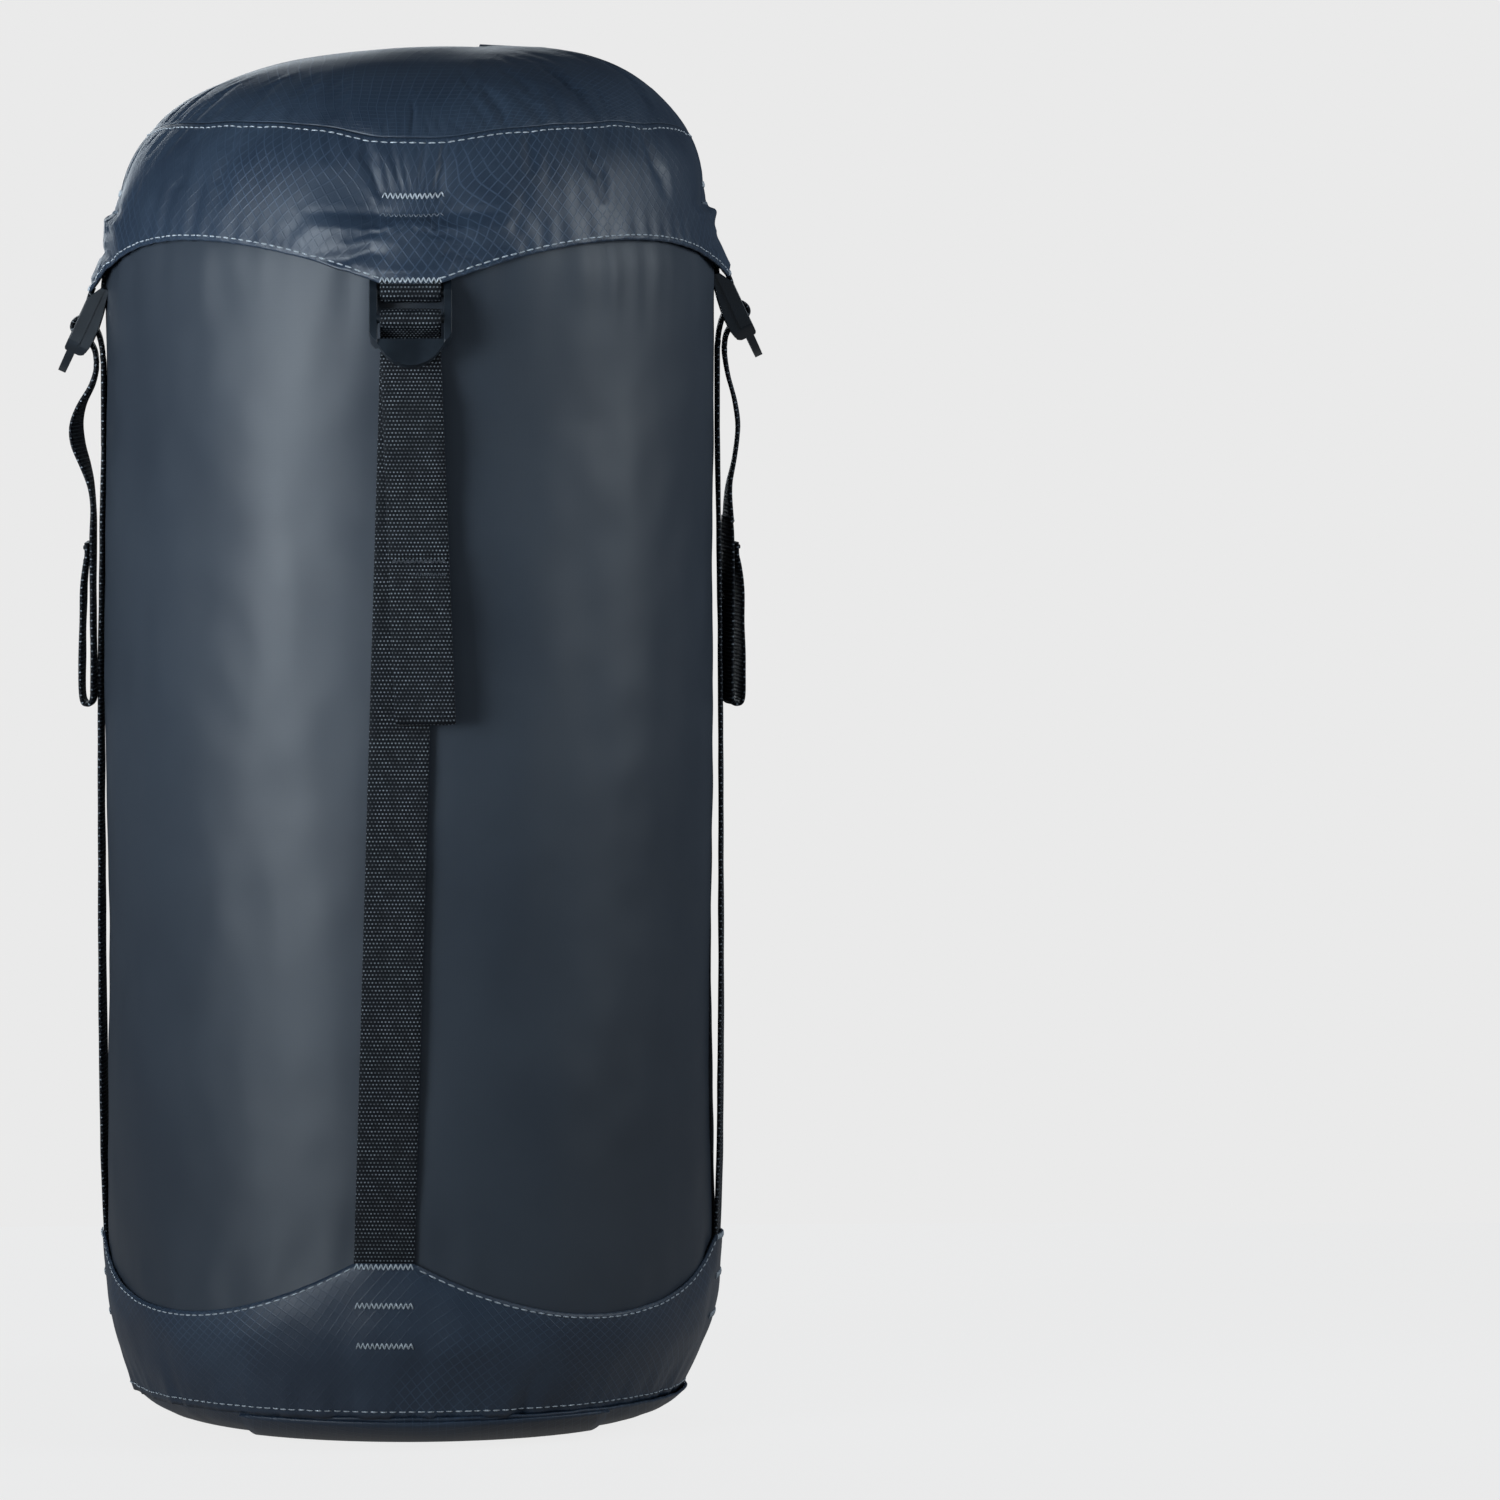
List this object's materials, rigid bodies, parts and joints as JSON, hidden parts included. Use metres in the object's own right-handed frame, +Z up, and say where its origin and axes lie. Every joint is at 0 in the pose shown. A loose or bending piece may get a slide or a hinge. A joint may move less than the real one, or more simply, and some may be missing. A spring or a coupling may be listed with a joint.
{
  "type": "compression sack",
  "caption": "Cylindrical stuff sack with a domed lid and a cup base, joined by webbing straps through ladder-locks that pull the lid down to squeeze the contents.",
  "frame": {"origin": "centre of the base, on the surface that the sack stands on", "axes": "+Z up along the sack, -Y towards the front strap, +X towards the right strap"},
  "size_m": [0.2384, 0.2384, 0.4665],
  "materials": {
    "navy_ripstop": "satin",
    "slate_nylon": "satin",
    "collar_nylon": "satin",
    "webbing": "matte",
    "acetal": "satin",
    "cord": "matte",
    "spring_steel": "satin"
  },
  "bodies": {
    "base": {"base_panel": "navy_ripstop", "base_band": "navy_ripstop", "bottom_pull_handle": "navy_ripstop", "body_tube": "slate_nylon", "strap_front": "webbing", "strap_right": "webbing", "strap_back": "webbing", "strap_left": "webbing"},
    "mouth": {"mouth_collar": "collar_nylon", "drawcord_channel": "navy_ripstop", "drawcord": "cord", "drawcord_knot": "cord"},
    "lid": {"lid_band": "navy_ripstop", "lid_crown": "navy_ripstop", "anchor_loop_front": "webbing", "anchor_loop_right": "webbing", "anchor_loop_back": "webbing", "anchor_loop_left": "webbing"},
    "cord_lock": {"cordlock_barrel": "acetal", "cordlock_spring": "spring_steel"},
    "plunger": {"cordlock_plunger": "acetal"},
    "buckle_front": {"ladder_lock_front": "acetal", "strap_turn_front": "webbing"},
    "buckle_right": {"ladder_lock_right": "acetal", "strap_turn_right": "webbing"},
    "buckle_back": {"ladder_lock_back": "acetal", "strap_turn_back": "webbing"},
    "buckle_left": {"ladder_lock_left": "acetal", "strap_turn_left": "webbing"},
    "tail_front": {"strap_tail_front": "webbing"},
    "tail_right": {"strap_tail_right": "webbing"},
    "tail_back": {"strap_tail_back": "webbing"},
    "tail_left": {"strap_tail_left": "webbing"}
  },
  "joints": [
    {"name": "compress", "type": "slide", "parent": "base", "child": "mouth", "axis": [0, 0, 1], "range_m": [-0.24, 0], "deforming": ["body_tube", "strap_front", "strap_right", "strap_back", "strap_left"]},
    {"name": "lid_lift", "type": "slide", "parent": "mouth", "child": "lid", "axis": [0, 0, 1], "range_m": [0, 0.085]},
    {"name": "buckle_front", "type": "hinge", "parent": "lid", "child": "buckle_front", "pos_m": [0, -0.10634, 0.38519], "axis": [-1, 0, 0], "range_deg": [0, 40]},
    {"name": "buckle_right", "type": "hinge", "parent": "lid", "child": "buckle_right", "pos_m": [0.10634, 0, 0.38519], "axis": [0, -1, 0], "range_deg": [0, 40]},
    {"name": "buckle_back", "type": "hinge", "parent": "lid", "child": "buckle_back", "pos_m": [0, 0.10634, 0.38519], "axis": [1, 0, 0], "range_deg": [0, 40]},
    {"name": "buckle_left", "type": "hinge", "parent": "lid", "child": "buckle_left", "pos_m": [-0.10634, 0, 0.38019], "axis": [0, 1, 0], "range_deg": [0, 40]},
    {"name": "tail_front", "type": "hinge", "parent": "buckle_front", "child": "tail_front", "pos_m": [0, -0.1062, 0.364], "axis": [-1, 0, 0], "range_deg": [0, 40]},
    {"name": "tail_right", "type": "hinge", "parent": "buckle_right", "child": "tail_right", "pos_m": [0.1062, 0, 0.364], "axis": [0, -1, 0], "range_deg": [0, 40]},
    {"name": "tail_back", "type": "hinge", "parent": "buckle_back", "child": "tail_back", "pos_m": [0, 0.1062, 0.364], "axis": [1, 0, 0], "range_deg": [0, 40]},
    {"name": "tail_left", "type": "hinge", "parent": "buckle_left", "child": "tail_left", "pos_m": [-0.1062, 0, 0.359], "axis": [0, 1, 0], "range_deg": [0, 40]},
    {"name": "cord_lock_slide", "type": "slide", "parent": "mouth", "child": "cord_lock", "axis": [0, -1, 0], "range_m": [0, 0.026]},
    {"name": "plunger_press", "type": "slide", "parent": "cord_lock", "child": "plunger", "axis": [0, 0, -1], "range_m": [0, 0.003], "stiffness_N_per_m": 300, "springref_m": -0.003, "deforming": ["cordlock_spring"]}
  ]
}
